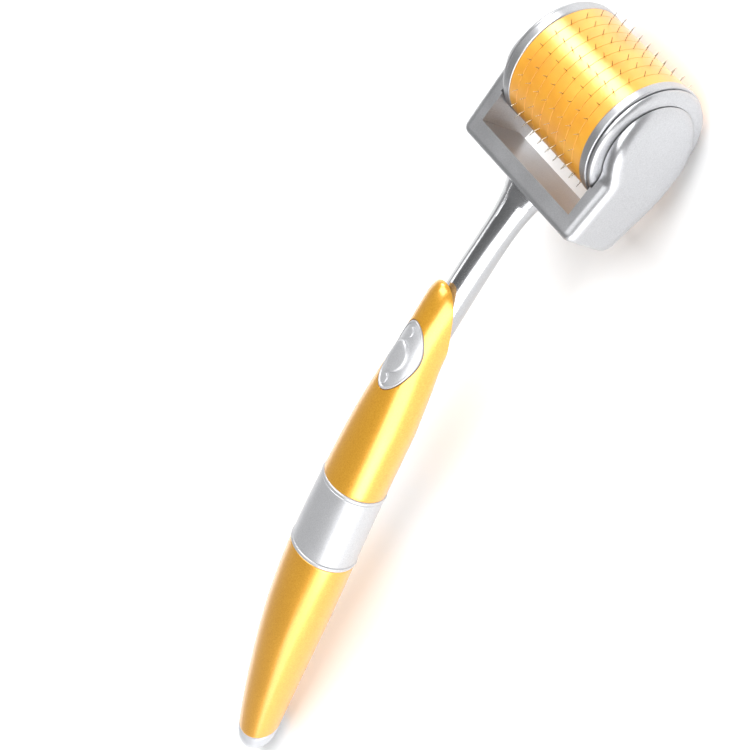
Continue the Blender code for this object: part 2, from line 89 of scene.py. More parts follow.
# Yoke and its cheek discs. A cutter reaches past the yoke on every open side.
ARM_INNER_FACE = 11.4
ARM_ROUND_RADIUS = 7.98
ARM_ROUND_SHARE = 1.4
ARM_ROUND_LEAVES = math.radians(-102)
ARM_ROUND_TOP = math.radians(1.5)
ARM_HOLLOW_RADIUS = 3.0
ARM_ROUNDING = 1.8
ARM_FOOT_ROUNDING = 1.1
ARM_SIDE_INSET = 0.04
ARM_BACK_LOW = -4.9
FRONT_CORNER = 0.9
BACK_CORNER = 1.7
FRONT_FACE = 5.54
BASE_TOP = -13.4
BASE_BOTTOM = -16.6
BASE_BACK_FACE = -3.8
YOKE_EDGE = 0.24
CUTTER_REACH = 20.0
CHEEK_RADIUS = 9.85
CHEEK_BORE = 1.6
CHEEK_INNER_FACE = 10.72
CHEEK_OUTER_FACE = 11.65
CHEEK_ROUNDING = 0.7
SEAT_SEAM = 0.1
SEAT_FACE = CHEEK_OUTER_FACE + 0.15
SEAT_OPEN_END = 10.0

# (x, half width) across both arms, from the yoke's foot to its top.
HEAD_HALF_WIDTHS = [
    (-17.0, 14.35),
    (-11.0, 14.6),
    (-6.0, 14.75),
    (-2.0, 14.3),
    (2.0, 13.55),
    (8.5, 12.5),
]

# Handle, along a circular arc in the plane of symmetry. Places along it are millimetres of arc,
# growing from the neck towards the tail.
ARC_RADIUS = 298.0
ARC_START = (-20.0, 1.5)
ARC_START_ANGLE = math.radians(5.5)
TONGUE_TIP = 14.7
BAND_TOP = 54.0
BAND_BOTTOM = 68.8
BEAD_WIDTH = 0.7
BEAD_SWELL = 0.16
BAND_SWELL = 0.05
BAND_SEAM = 0.03
TUBE_BORE = 4.0
JOINT_GAP = 0.06
SHELL_EDGE = 0.2
LOWER_SHELL_END = 111.0
LOWER_SHELL_BORE = 2.0
TAIL_END = 117.0
TAIL_CLEARANCE = 1.0
TAIL_STEM_DEPTH = 6.0
TAIL_STEM_INSET = 1.4
TAIL_LEAN = 0.5
LEAN_START = 98.0
LEAN_LENGTH = 12.0

# (place, half width, front height, back height) of the gold handle.
HANDLE_SECTIONS = [
    (14.7, 1.9, 3.8, 2.0),
    (15.0, 2.5, 4.25, 2.1),
    (15.6, 3.05, 4.65, 2.2),
    (16.6, 3.5, 4.85, 2.3),
    (18.0, 3.75, 4.95, 2.4),
    (24.0, 3.75, 5.05, 2.4),
    (28.0, 3.85, 5.05, 2.7),
    (33.0, 4.45, 5.1, 3.6),
    (38.0, 4.95, 5.12, 4.35),
    (42.0, 5.25, 5.15, 4.85),
    (54.0, 5.6, 5.2, 5.2),
    (69.0, 5.9, 5.35, 5.35),
    (76.0, 5.85, 5.35, 5.35),
    (84.0, 5.6, 5.15, 5.15),
    (94.0, 5.0, 4.6, 4.6),
    (104.0, 4.25, 3.9, 3.9),
    (112.0, 3.55, 3.25, 3.25),
    (117.4, 2.8, 2.55, 2.55),
]

# (place, height) of the curve that trims the upper shell's back, from tongue to shoulder.
QUILL_TRIM = [
    (12.0, 4.5),
    (13.4, 4.1),
    (14.6, 3.8),
    (16.2, 3.3),
    (18.4, 2.4),
    (21.5, 1.1),
    (25.0, -0.4),
    (29.0, -2.2),
    (34.5, -4.6),
    (40.0, -7.0),
]

# Neck, with the same columns as the handle. Its front rises to a ridge with a fine crest.
NECK_SECTIONS = [
    (-3.0, 3.9, 3.4, 3.2),
    (-1.5, 3.3, 3.0, 2.9),
    (2.0, 2.75, 2.7, 2.6),
    (6.0, 2.55, 2.75, 2.45),
    (12.0, 2.55, 2.95, 2.45),
    (18.0, 2.55, 3.05, 2.45),
    (26.0, 2.5, 3.0, 2.4),
    (40.0, 2.4, 2.6, 2.4),
]
NECK_FOOT = -3.0
NECK_FOOT_FLARE = 1.03
NECK_END = 40.0
RIDGE_HEIGHT = 0.85
RIDGE_CREST = 0.13
RIDGE_HALF_WIDTH = 0.24

# Oval inlay. Each profile is (share of the oval, height over the handle's skin).
OVAL_CENTRE = 28.4
OVAL_LENGTH = 12.6
OVAL_WIDTH = 5.9
OVAL_SEAM = 0.3
RECESS_DEPTH = 0.75
PLATE_DEPTH = 0.7
LUG_OFFSET = 0.2
LUG_SIZE = (5.6, 3.7)
BAR_WIDTH = 1.1
MARK_DEPTH = 0.12
PLATE_PROFILE = [
    (1.0, -0.12),
    (0.995, 0.0),
    (0.985, 0.05),
    (0.97, 0.07),
    (0.945, 0.05),
    (0.935, 0.0),
    (0.925, -0.1),
    (0.91, -0.14),
    (0.9, -0.12),
    (0.88, -0.1),
    (0.6, -0.08),
    (0.3, -0.06),
]
LUG_PROFILE = [(1.0, 0.1), (0.95, 0.34), (0.88, 0.43), (0.8, 0.455), (0.6, 0.455), (0.3, 0.455)]
BAR_PROFILE = [(1.0, 0.1), (0.9, 0.2), (0.75, 0.22), (0.4, 0.22)]

# Softboxes around the head: direction, distance, width and height in metres, radiance.
SOFTBOXES = {
    "drum_band": ((0.67, 0.59, 0.44), 0.8, 0.3, 0.3, 9.0),
    "front_key": ((-0.4, -0.84, 0.38), 0.9, 0.6, 0.7, 3.9),
    "barrel_key": ((-0.78, -0.58, 0.24), 0.8, 0.5, 0.32, 2.3),
    "overhead_fill": ((0.4, 0.0, 0.92), 1.1, 1.0, 1.0, 4.4),
}
LIGHTS_CENTRE = Vector((0.03, 0.0, 0.01))
SKY_GREYS = [(0.0, 0.5), (0.4, 0.3), (0.78, 0.22), (0.95, 0.1)]
FLOOR_HALF_SIZE = 1.6

CAMERA_LENS = 117.557
CAMERA_LOCATION = (0.18446, -0.207582, 0.274787)
CAMERA_ROTATION = (0.012527, 0.824192, -0.855258)


# ---------------------------------------------------------------- shape helpers


def spread(start, end, count):
    """Evenly spaced values from start to end, both included."""
    return [start + (end - start) * i / (count - 1) for i in range(count)]


def smooth_value(table, column, at):
    """A value between the rows of a table, along a smooth curve through them."""
    at = min(max(at, table[0][0]), table[-1][0])
    i = max(k for k in range(len(table) - 1) if table[k][0] <= at or k == 0)
    x0, y0 = table[i][0], table[i][column]
    x1, y1 = table[i + 1][0], table[i + 1][column]
    before = table[max(i - 1, 0)]
    after = table[min(i + 2, len(table) - 1)]
    slope0 = (y1 - before[column]) / (x1 - before[0])
    slope1 = (after[column] - y0) / (after[0] - x0)
    t = (at - x0) / (x1 - x0)
    span = x1 - x0
    rise = (3 - 2 * t) * t * t
    bend0 = t * (1 - t) * (1 - t) * span * slope0
    bend1 = t * t * (t - 1) * span * slope1
    return y0 + (y1 - y0) * rise + bend0 + bend1


def join_rows(shape, row, following):
    """Faces between two closed rows of the same number of points."""
    count = len(row)
    for i in range(count):
        j = (i + 1) % count
        shape.faces.new((row[i], row[j], following[j], following[i]))


def new_rows(shape, rings):
    return [[shape.verts.new(point) for point in ring] for ring in rings]


def loft(rings):
    """A closed solid through rings of the same number of points, with a face on each end."""
    shape = bmesh.new()
    rows = new_rows(shape, rings)
    for row, following in zip(rows, rows[1:]):
        join_rows(shape, row, following)
    shape.faces.new(rows[0])
    shape.faces.new(rows[-1])
    return shape


def loop(rings):
    """A closed wall through rings, whose last ring joins the first."""
    shape = bmesh.new()
    rows = new_rows(shape, rings)
    for row, following in zip(rows, rows[1:] + rows[:1]):
        join_rows(shape, row, following)
    return shape


def circle(radius, y, count):
    """Points of a circle about the drum's axis."""
    turns = [2 * math.pi * i / count for i in range(count)]
    return [(radius * math.cos(a), y, radius * math.sin(a)) for a in turns]


def turned(outline):
    """A ring turned about the drum's axis from a closed outline of (radius, y) points."""
    return loop([circle(radius, y, 144) for radius, y in outline])


def rounded_outline(inner, outer, low, high, rounding, steps):
    """The cross-section of a flat ring whose two outer corners are rounded."""
    hold = 0.03
    points = [(inner, low), (outer - rounding - hold, low)]
    for turn in spread(-math.pi / 2, 0.0, steps):
        radius = outer - rounding + rounding * math.cos(turn)
        points.append((radius, low + rounding + rounding * math.sin(turn)))
    points += [(outer, low + rounding + hold), (outer, high - rounding - hold)]
    for turn in spread(0.0, math.pi / 2, steps):
        radius = outer - rounding + rounding * math.cos(turn)
        points.append((radius, high - rounding + rounding * math.sin(turn)))
    return points + [(outer - rounding - hold, high), (inner, high)]


def handle_point(along, side, height):
    """A point beside the handle's curved axis; side is along the drum's axle."""
    angle = ARC_START_ANGLE + along / ARC_RADIUS
    x = ARC_START[0] - ARC_RADIUS * (math.sin(angle) - math.sin(ARC_START_ANGLE))
    z = ARC_START[1] - ARC_RADIUS * (math.cos(ARC_START_ANGLE) - math.cos(angle))
    return Vector((x - height * math.sin(angle), side, z + height * math.cos(angle)))


def section_ring(along, half_width, front, back, count=96):
    """A section across the handle, which near the tail leans so that its front reaches further."""
    lean = TAIL_LEAN * min(1.0, max(0.0, (along - LEAN_START) / LEAN_LENGTH))
    ring = []
    for i in range(count):
        turn = 2 * math.pi * i / count
        height = (front if math.sin(turn) > 0 else back) * math.sin(turn)
        ring.append(handle_point(along + lean * height, half_width * math.cos(turn), height))
    return ring


def handle_ring(along, inset=0.0):
    """The handle's own section at a place, smaller all round by an inset."""
    sizes = [smooth_value(HANDLE_SECTIONS, column, along) - inset for column in (1, 2, 3)]
    return section_ring(along, *sizes)


def front_height(along, side):
    """The height of the handle's front skin over its axis."""
    half_width = smooth_value(HANDLE_SECTIONS, 1, along)
    front = smooth_value(HANDLE_SECTIONS, 2, along)
    return front * math.sqrt(max(0.0, 1 - (side / half_width) ** 2))


def oval_solid(centre, length, width, profile, depth, count=72):
    """An oval piece on the handle's front skin, from a depth under it up to its profile."""
    def ring(share, offset):
        points = []
        for i in range(count):
            turn = 2 * math.pi * i / count
            along = centre + 0.5 * length * share * math.cos(turn)
            side = 0.5 * width * share * math.sin(turn)
            points.append(handle_point(along, side, front_height(along, side) + offset))
        return points

    rings = [ring(share, -depth) for share in (0.3, 0.65, 1.0)]
    rings += [ring(share, offset) for share, offset in profile]
    return loft(rings)


def corner_drop(radius, distance):
    """How far a rounded corner falls away from its straight side."""
    if distance >= radius:
        return 0.0
    return radius - math.sqrt(max(0.0, radius ** 2 - (radius - distance) ** 2))


# ---------------------------------------------------------------- pieces


def new_object(name, shape):
    """An object in the scene that holds a closed shape, with its faces pointing out."""
    bmesh.ops.recalc_face_normals(shape, faces=shape.faces)
    mesh = bpy.data.meshes.new(name)
    shape.to_mesh(mesh)
    shape.free()
    made = bpy.data.objects.new(name, mesh)
    bpy.context.scene.collection.objects.link(made)
    return made


def add_piece(name, shape, material, body, nodes, sharp=32.0):
    """Lays a shape down in the frame as one named piece that stands for some CAD nodes."""
    piece = new_object(name, shape)
    mesh = piece.data
    mesh.transform(PLACE)
    mesh.shade_smooth()
    mesh.set_sharp_from_angle(angle=math.radians(sharp))
    mesh.materials.append(material)
    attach(piece, body)
    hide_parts(*nodes)
    return piece


def cut_away(shape, cutters):
    """The shape with closed cutters taken out of it by exact Booleans."""
    body = new_object("cut_body", shape)
    made = [body]
    for cutter in cutters:
        tool = new_object("cut_tool", cutter)
        boolean = body.modifiers.new("cut", "BOOLEAN")
        boolean.operation = "DIFFERENCE"
        boolean.solver = "EXACT"
        boolean.object = tool
        made.append(tool)
    evaluated = body.evaluated_get(bpy.context.evaluated_depsgraph_get())
    result = bmesh.new()
    result.from_mesh(evaluated.to_mesh())
    evaluated.to_mesh_clear()
    for thing in made:
        mesh = thing.data
        bpy.data.objects.remove(thing)
        bpy.data.meshes.remove(mesh)
    return result


def soften(piece, width):
    """Rounds a piece's crisp edges by a fraction of a millimetre."""
    bevel = piece.modifiers.new("edge_rounding", "BEVEL")
    bevel.width = width * 0.001
    bevel.segments = 3
    bevel.limit_method = "ANGLE"
    bevel.angle_limit = math.radians(40.0)
    normals = piece.modifiers.new("even_shading", "WEIGHTED_NORMAL")
    normals.keep_sharp = False
    normals.weight = 60


def arm_stations(foot, hollow_x, tangent, radius, meeting):
    """Places of an arm's slices along x: its foot, its straight part, its hollow and its round."""
    stations = [foot + BACK_CORNER * (1 - math.cos(t)) for t in spread(0.0, math.pi / 2, 9)]
    stations += spread(stations[-1], hollow_x, 8)[1:-1]
    stations += spread(hollow_x, tangent, 13)[:-1]
    return stations + [radius * math.cos(turn) for turn in spread(meeting, ARM_ROUND_TOP, 44)]


def arm_slices(inset, foot_inset):
    """Slices across an arm in side view, as (x, front z, back z), from its foot to its top."""
    foot = BASE_BOTTOM + foot_inset
    front = FRONT_FACE - inset
    back = ARM_BACK_LOW + inset * ARM_ROUND_SHARE
    radius = ARM_ROUND_RADIUS - inset * ARM_ROUND_SHARE
    hollow = ARM_HOLLOW_RADIUS + inset
    hollow_x = -math.sqrt((radius + hollow) ** 2 - (front + hollow) ** 2)
    meeting = math.atan2(front + hollow, hollow_x)
    tangent = radius * math.cos(meeting)
    leave_x = radius * math.cos(ARM_ROUND_LEAVES)
    leave_z = radius * math.sin(ARM_ROUND_LEAVES)
    slices = []
    for x in arm_stations(foot, hollow_x, tangent, radius, meeting):
        if x < hollow_x:
            front_z = front - corner_drop(FRONT_CORNER, x - foot)
        elif x < tangent:
            front_z = front + hollow - math.sqrt(hollow ** 2 - (x - hollow_x) ** 2)
        else:
            front_z = math.sqrt(radius ** 2 - x ** 2)
        if x < leave_x:
            share = (x - foot) / (leave_x - foot)
            back_z = back + share * (leave_z - back) + corner_drop(BACK_CORNER, x - foot)
        else:
            back_z = -math.sqrt(radius ** 2 - x ** 2)
        slices.append((x, front_z, back_z))
    return slices


def yoke_blank():
    """The block that holds both arms and the bar, rounded over on its two outer sides."""
    rings = []
    for side in (-1, 1):
        run = []
        for turn in spread(0.0, math.pi / 2, 13):
            inset = ARM_ROUNDING * (1 - math.cos(turn))
            foot_inset = ARM_FOOT_ROUNDING * (1 - math.cos(turn))
            drop = ARM_ROUNDING * (1 - math.sin(turn)) + ARM_SIDE_INSET
            front_ring, back_ring = [], []
            for x, front_z, back_z in arm_slices(inset, foot_inset):
                y = side * (smooth_value(HEAD_HALF_WIDTHS, 1, x) - drop)
                front_ring.append((x, y, front_z))
                back_ring.append((x, y, back_z))
            run.append(front_ring + back_ring[::-1])
        rings += run[::-1] if side < 0 else run
    shape = bmesh.new()
    rows = new_rows(shape, rings)
    for row, following in zip(rows, rows[1:]):
        join_rows(shape, row, following)
    count = len(rows[0])
    for row in (rows[0], rows[-1]):
        for i in range(count // 2 - 1):
            j = count - 1 - i
            shape.faces.new((row[i], row[i + 1], row[j - 1], row[j]))
    return shape


def window_cutter():
    """All the room between the arms, with the room behind the bar."""
    opening = [
        (BASE_TOP, CUTTER_REACH),
        (BASE_TOP, BASE_BACK_FACE),
        (BASE_BOTTOM - 1.0, BASE_BACK_FACE),
        (BASE_BOTTOM - 1.0, -CUTTER_REACH),
        (CUTTER_REACH, -CUTTER_REACH),
        (CUTTER_REACH, CUTTER_REACH),
    ]
    return loft([[(x, y, z) for x, z in opening] for y in (-ARM_INNER_FACE, ARM_INNER_FACE)])


def cheek_seat(side):
    """The round recess of an arm that takes its cheek disc, with a fine seam around it."""
    radius = CHEEK_RADIUS + SEAT_SEAM
    return loft([circle(radius, side * y, 192) for y in (SEAT_OPEN_END, SEAT_FACE)])


def build_cheek(plating, side, label):
    outline = [
        (CHEEK_BORE, side * CHEEK_INNER_FACE),
        (CHEEK_RADIUS - 0.15, side * CHEEK_INNER_FACE),
        (CHEEK_RADIUS, side * (CHEEK_INNER_FACE + 0.1)),
    ]
    for turn in spread(0.0, math.pi / 2, 9):
        radius = CHEEK_RADIUS - 1.5 * CHEEK_ROUNDING * (1 - math.cos(turn))
        face = CHEEK_OUTER_FACE - CHEEK_ROUNDING * (1 - math.sin(turn))
        outline.append((radius, side * face))
    outline.append((CHEEK_BORE, side * CHEEK_OUTER_FACE))
    name = f"cheek_disc_{label}"
    add_piece(f"cheek_{label}", turned(outline), plating, "handle", [name])


def build_yoke(plating):
    shape = cut_away(yoke_blank(), [window_cutter(), cheek_seat(-1), cheek_seat(1)])
    yoke = add_piece("yoke", shape, plating, "handle", ["yoke_frame"])
    soften(yoke, YOKE_EDGE)
    for side, label in ((-1, "right"), (1, "left")):
        build_cheek(plating, side, label)


def needle_outline():
    """The outline of a needle disc, as (radius, angle) points."""
    root = DRUM_RADIUS - DISC_EDGE_DEPTH
    reach = NEEDLE_TIP_RADIUS - root
    flank = [(root + share * reach, half) for share, half in NEEDLE_FLANK]
    gap = 2 * math.pi / NEEDLES_PER_DISC
    edge = flank[0][1] / root
    outline = []
    for i in range(NEEDLES_PER_DISC):
        turn = 2 * math.pi * i / NEEDLES_PER_DISC + NEEDLE_PHASE
        outline += [(r, turn - half / r) for r, half in flank]
        outline += [(r, turn + half / r) for r, half in flank[::-1]]
        outline += [(root, a) for a in spread(turn + edge, turn + gap - edge, 6)[1:-1]]
    return outline


def needle_star(centre):
    """A thin steel disc with a slim, hollow-ground point for each needle."""
    outline = needle_outline()
    bore = [(BORE_RADIUS, a) for r, a in outline]
    shape = bmesh.new()
    faces = []
    for y in (centre - DISC_HALF_THICKNESS, centre + DISC_HALF_THICKNESS):
        rims = [[(r * math.cos(a), y, r * math.sin(a)) for r, a in rim] for rim in (outline, bore)]
        faces.append(new_rows(shape, rims))
    (outer0, inner0), (outer1, inner1) = faces
    join_rows(shape, outer0, outer1)
    join_rows(shape, inner0, inner1)
    join_rows(shape, outer0, inner0)
    join_rows(shape, outer1, inner1)
    return shape


def build_drum(gold, plating, steel):
    middle = (DISC_COUNT - 1) / 2
    centres = [(i - middle) * DISC_PITCH for i in range(DISC_COUNT)]
    edges = [-STACK_HALF]
    for centre in centres:
        edges += [centre - DISC_HALF_SLOT, centre + DISC_HALF_SLOT]
    edges.append(STACK_HALF)
    for number in range(1, DISC_COUNT + 2):
        low, high = edges[2 * number - 2], edges[2 * number - 1]
        outline = rounded_outline(BORE_RADIUS, DRUM_RADIUS, low, high, RING_CHAMFER, 2)
        node = f"drum_ring_{number}"
        add_piece(f"gold_ring_{number}", turned(outline), gold, "drum", [node])
    for number, centre in enumerate(centres, 1):
        shape = needle_star(centre)
        node = f"needle_disc_{number}"
        add_piece(f"needle_star_{number}", shape, steel, "drum", [node])
    for side, label in ((-1, "right"), (1, "left")):
        low, high = sorted((side * (STACK_HALF + FLANGE_SEAM), side * FLANGE_OUTER_FACE))
        outline = rounded_outline(BORE_RADIUS, FLANGE_RADIUS, low, high, FLANGE_ROUNDING, 6)
        node = f"drum_flange_{label}"
        add_piece(f"flange_{label}", turned(outline), plating, "drum", [node])


def neck_ring(along, count=160):
    """A rounded section whose front rises to a crisp ridge along the middle."""
    half_width = smooth_value(NECK_SECTIONS, 1, along)
    front = smooth_value(NECK_SECTIONS, 2, along)
    back = smooth_value(NECK_SECTIONS, 3, along)
    ring = []
    for i in range(count):
        turn = 2 * math.pi * i / count
        side, rise = math.cos(turn), math.sin(turn)
        if rise > 0:
            crest = max(0.0, 1 - abs(half_width * side) / RIDGE_HALF_WIDTH)
            height = (front - RIDGE_HEIGHT) * rise + RIDGE_HEIGHT * (1 - abs(side))
            height += RIDGE_CREST * crest
        else:
            height = back * rise
        ring.append(handle_point(along, half_width * side, height))
    return ring


def build_neck(plating):
    foot_x = BASE_BOTTOM + 0.15
    flare = NECK_FOOT_FLARE
    rings = [[Vector((foot_x, p.y * flare, p.z * flare)) for p in neck_ring(NECK_FOOT)]]
    rings += [neck_ring(along) for along in spread(NECK_FOOT + 0.6, NECK_END, 70)]
    add_piece("neck", loft(rings), plating, "handle", ["neck_stem"], 14.0)


def shell_bore():
    """The hollow of the upper shell, which stays clear of the neck and its tang."""
    bore = []
    for along in spread(10.0, 56.0, 40):
        side_wall = 0.7 if along < 35 else 1.2
        half_width = max(smooth_value(HANDLE_SECTIONS, 1, along) - side_wall, 2.75)
        front = smooth_value(HANDLE_SECTIONS, 2, along) - 1.35
        back = max(smooth_value(HANDLE_SECTIONS, 3, along) - side_wall, 2.65)
        bore.append(section_ring(along, half_width, front, back, 64))
    return loft(bore)


def quill_block():
    """A block whose curved side trims the shell's back from the tongue to the shoulder."""
    first, last = QUILL_TRIM[0][0], QUILL_TRIM[-1][0]
    run = []
    for along in spread(first, last, 60):
        run.append(handle_point(along, 0.0, smooth_value(QUILL_TRIM, 1, along)))
    run += [handle_point(last, 0.0, -30.0), handle_point(-10.0, 0.0, -30.0)]
    run.append(handle_point(-10.0, 0.0, 8.0))
    return loft([[p + Vector((0.0, y, 0.0)) for p in run] for y in (-12, 12)])


def build_upper_shell(gold):
    stations = spread(TONGUE_TIP, 16.6, 12) + spread(16.6, 20.0, 8)[1:]
    stations += spread(20.0, BAND_TOP - JOINT_GAP, 48)[1:]
    outer = loft([handle_ring(s) for s in stations])
    size = (OVAL_CENTRE, OVAL_LENGTH + OVAL_SEAM, OVAL_WIDTH + OVAL_SEAM)
    recess = oval_solid(*size, [(1.0, 1.0), (0.5, 1.0)], RECESS_DEPTH)
    shape = cut_away(outer, [recess, shell_bore(), quill_block()])
    shell = add_piece("upper_shell", shape, gold, "handle", ["upper_handle_shell"])
    soften(shell, SHELL_EDGE)


def build_inlay(plating):
    """The oval plate with its rolled rim, the plain lug and the two bars."""
    plate = oval_solid(OVAL_CENTRE, OVAL_LENGTH, OVAL_WIDTH, PLATE_PROFILE, PLATE_DEPTH)
    lug = oval_solid(OVAL_CENTRE + LUG_OFFSET, *LUG_SIZE, LUG_PROFILE, MARK_DEPTH)
    solids = [("inlay_plate", plate), ("inlay_lug", lug)]
    for label, offset, length in (("upper", -4.3, 1.9), ("lower", 4.5, 1.8)):
        bar = oval_solid(OVAL_CENTRE + offset, length, BAR_WIDTH, BAR_PROFILE, MARK_DEPTH, 48)
        solids.append((f"inlay_bar_{label}", bar))
    for node, solid in solids:
        add_piece(f"{node}_oval", solid, plating, "handle", [node], 50.0)


def handle_tube(stations, insets, inner):
    """A tube that follows the handle's skin, each station with its own inset."""
    outer = [handle_ring(s, inset) for s, inset in zip(stations, insets)]
    inside = [section_ring(s, inner, inner * 0.88, inner * 0.88) for s in stations]
    return loop(outer + inside[::-1])


def build_band(plating):
    for label, start in (("upper", BAND_TOP), ("lower", BAND_BOTTOM - BEAD_WIDTH)):
        turns = spread(0.0, math.pi, 9)
        stations = [start + BEAD_WIDTH / 2 * (1 - math.cos(t)) for t in turns]
        insets = [-0.02 - BEAD_SWELL * math.sin(t) for t in turns]
        bead = handle_tube(stations, insets, TUBE_BORE)
        node = f"band_ring_{label}"
        add_piece(f"{node}_bead", bead, plating, "handle", [node], 50.0)
    start = BAND_TOP + BEAD_WIDTH + BAND_SEAM
    end = BAND_BOTTOM - BEAD_WIDTH - BAND_SEAM
    stations = [start, start + 0.05, start + 0.15] + spread(start + 0.4, end - 0.4, 18)
    stations += [end - 0.15, end - 0.05, end]
    insets = [0.06, -0.02, -BAND_SWELL] + [-BAND_SWELL] * 18 + [-BAND_SWELL, -0.02, 0.06]
    band = handle_tube(stations, insets, TUBE_BORE)
    add_piece("waist_band", band, plating, "handle", ["grip_band"], 50.0)


def build_lower_shell(gold):
    start, end = BAND_BOTTOM + JOINT_GAP, LOWER_SHELL_END
    stations = [start, start + 0.06, start + 0.2] + spread(start + 0.6, end - 0.5, 56)
    stations += [end - 0.2, end - 0.06, end]
    insets = [0.12, 0.03, 0.0] + [0.0] * 56 + [0.0, 0.03, 0.12]
    shell = handle_tube(stations, insets, LOWER_SHELL_BORE)
    add_piece("lower_shell", shell, gold, "handle", ["lower_handle_shell"], 50.0)


def build_tail(pearl):
    """The domed end plug, with its stem inside the lower shell."""
    dome = LOWER_SHELL_END + 0.04
    length = TAIL_END - TAIL_CLEARANCE - dome
    rings = [handle_ring(dome - TAIL_STEM_DEPTH, TAIL_STEM_INSET)]
    rings += [handle_ring(dome - 0.1, TAIL_STEM_INSET), handle_ring(dome, 0.14)]
    for turn in spread(0.06, math.radians(86), 22):
        along = dome + length * math.sin(turn)
        size = smooth_value(HANDLE_SECTIONS, 1, dome) * math.cos(turn) ** 0.6
        rings.append(section_ring(along, size, size * 0.92, size * 0.92))
    add_piece("tail_dome", loft(rings), pearl, "handle", ["tail_plug"], 50.0)


# ---------------------------------------------------------------- materials


def new_material(name):
    material = bpy.data.materials.new(name)
    material.use_nodes = True
    nodes = material.node_tree.nodes
    return material, nodes, material.node_tree.links, nodes["Principled BSDF"]


def noise(nodes, links, scale, detail=2.0, roughness=0.5, stretch=None):
    """Noise in the piece's own space, in cycles per metre."""
    place = nodes.new("ShaderNodeTexCoord")
    texture = nodes.new("ShaderNodeTexNoise")
    texture.inputs["Scale"].default_value = scale
    texture.inputs["Detail"].default_value = detail
    texture.inputs["Roughness"].default_value = roughness
    if stretch:
        mapping = nodes.new("ShaderNodeMapping")
        mapping.inputs["Scale"].default_value = stretch
        mapping.inputs["Rotation"].default_value = (0.0, -LYING_TILT, 0.0)
        links.new(place.outputs["Object"], mapping.inputs["Vector"])
        links.new(mapping.outputs["Vector"], texture.inputs["Vector"])
    else:
        links.new(place.outputs["Object"], texture.inputs["Vector"])
    return texture.outputs["Fac"]


def ramp(nodes, links, source, stops, target):
    """Colours a socket from a source, by stops of (position, colour)."""
    node = nodes.new("ShaderNodeValToRGB")
    node.color_ramp.elements[0].position = stops[0][0]
    node.color_ramp.elements[0].color = (*stops[0][1], 1.0)
    node.color_ramp.elements[1].position = stops[-1][0]
    node.color_ramp.elements[1].color = (*stops[-1][1], 1.0)
    for position, colour in stops[1:-1]:
        element = node.color_ramp.elements.new(position)
        element.color = (*colour, 1.0)
    links.new(source, node.inputs["Fac"])
    links.new(node.outputs["Color"], target)


def span(nodes, links, source, low, high, target):
    """Drives a socket between two values from a noise."""
    node = nodes.new("ShaderNodeMapRange")
    node.inputs["From Min"].default_value = 0.3
    node.inputs["From Max"].default_value = 0.7
    node.inputs["To Min"].default_value = low
    node.inputs["To Max"].default_value = high
    links.new(source, node.inputs["Value"])
    links.new(node.outputs["Result"], target)


def bump(nodes, links, source, strength, distance, shader):
    node = nodes.new("ShaderNodeBump")
    node.inputs["Strength"].default_value = strength
    node.inputs["Distance"].default_value = distance
    links.new(source, node.inputs["Height"])
    links.new(node.outputs["Normal"], shader.inputs["Normal"])


def plating_material(name, shade, metallic, smoothest, roughest):
    material, nodes, links, shader = new_material(name)
    grain = noise(nodes, links, 5200.0, 3.0, 0.6)
    cloud = noise(nodes, links, 260.0, 2.0)
    light, dark = [tuple(k * shade * c for c in (0.98, 0.99, 1.02)) for k in (1.1, 0.9)]
    ramp(nodes, links, grain, [(0.3, dark), (0.7, light)], shader.inputs["Base Color"])
    span(nodes, links, cloud, smoothest, roughest, shader.inputs["Roughness"])
    bump(nodes, links, grain, 0.12, 0.00002, shader)
    shader.inputs["Metallic"].default_value = metallic
    return material


def handle_gold_material():
    material, nodes, links, shader = new_material("pearl_gold_lacquer")
    flake = noise(nodes, links, 4300.0, 3.0, 0.65)
    cloud = noise(nodes, links, 120.0, 2.0)
    stops = [(0.28, (0.82, 0.36, 0.012)), (0.5, (0.92, 0.44, 0.02)), (0.72, (0.98, 0.52, 0.035))]
    ramp(nodes, links, flake, stops, shader.inputs["Base Color"])
    span(nodes, links, cloud, 0.3, 0.36, shader.inputs["Roughness"])
    bump(nodes, links, flake, 0.1, 0.00002, shader)
    shader.inputs["Metallic"].default_value = 0.6
    shader.inputs["Coat Weight"].default_value = 1.0
    shader.inputs["Coat Roughness"].default_value = 0.24
    shader.inputs["Coat IOR"].default_value = 1.8
    return material


def drum_gold_material():
    material, nodes, links, shader = new_material("amber_gold_drum")
    grain = noise(nodes, links, 2600.0, 3.0, 0.6, (1.0, 4.0, 1.0))
    cloud = noise(nodes, links, 220.0, 2.0)
    stops = [(0.3, (0.92, 0.38, 0.015)), (0.5, (0.98, 0.44, 0.02)), (0.7, (1.0, 0.5, 0.035))]
    ramp(nodes, links, cloud, stops, shader.inputs["Base Color"])
    span(nodes, links, grain, 0.34, 0.4, shader.inputs["Roughness"])
    bump(nodes, links, grain, 0.05, 0.00002, shader)
    shader.inputs["Metallic"].default_value = 0.35
    shader.inputs["Coat Weight"].default_value = 1.0
    shader.inputs["Coat Roughness"].default_value = 0.28
    shader.inputs["Coat IOR"].default_value = 1.8
    return material


def steel_material():
    material, nodes, links, shader = new_material("needle_steel_bright")
    grain = noise(nodes, links, 6000.0, 2.0)
    stops = [(0.3, (0.3, 0.26, 0.2)), (0.7, (0.52, 0.47, 0.38))]
    ramp(nodes, links, grain, stops, shader.inputs["Base Color"])
    span(nodes, links, grain, 0.22, 0.34, shader.inputs["Roughness"])
    shader.inputs["Metallic"].default_value = 1.0
    return material


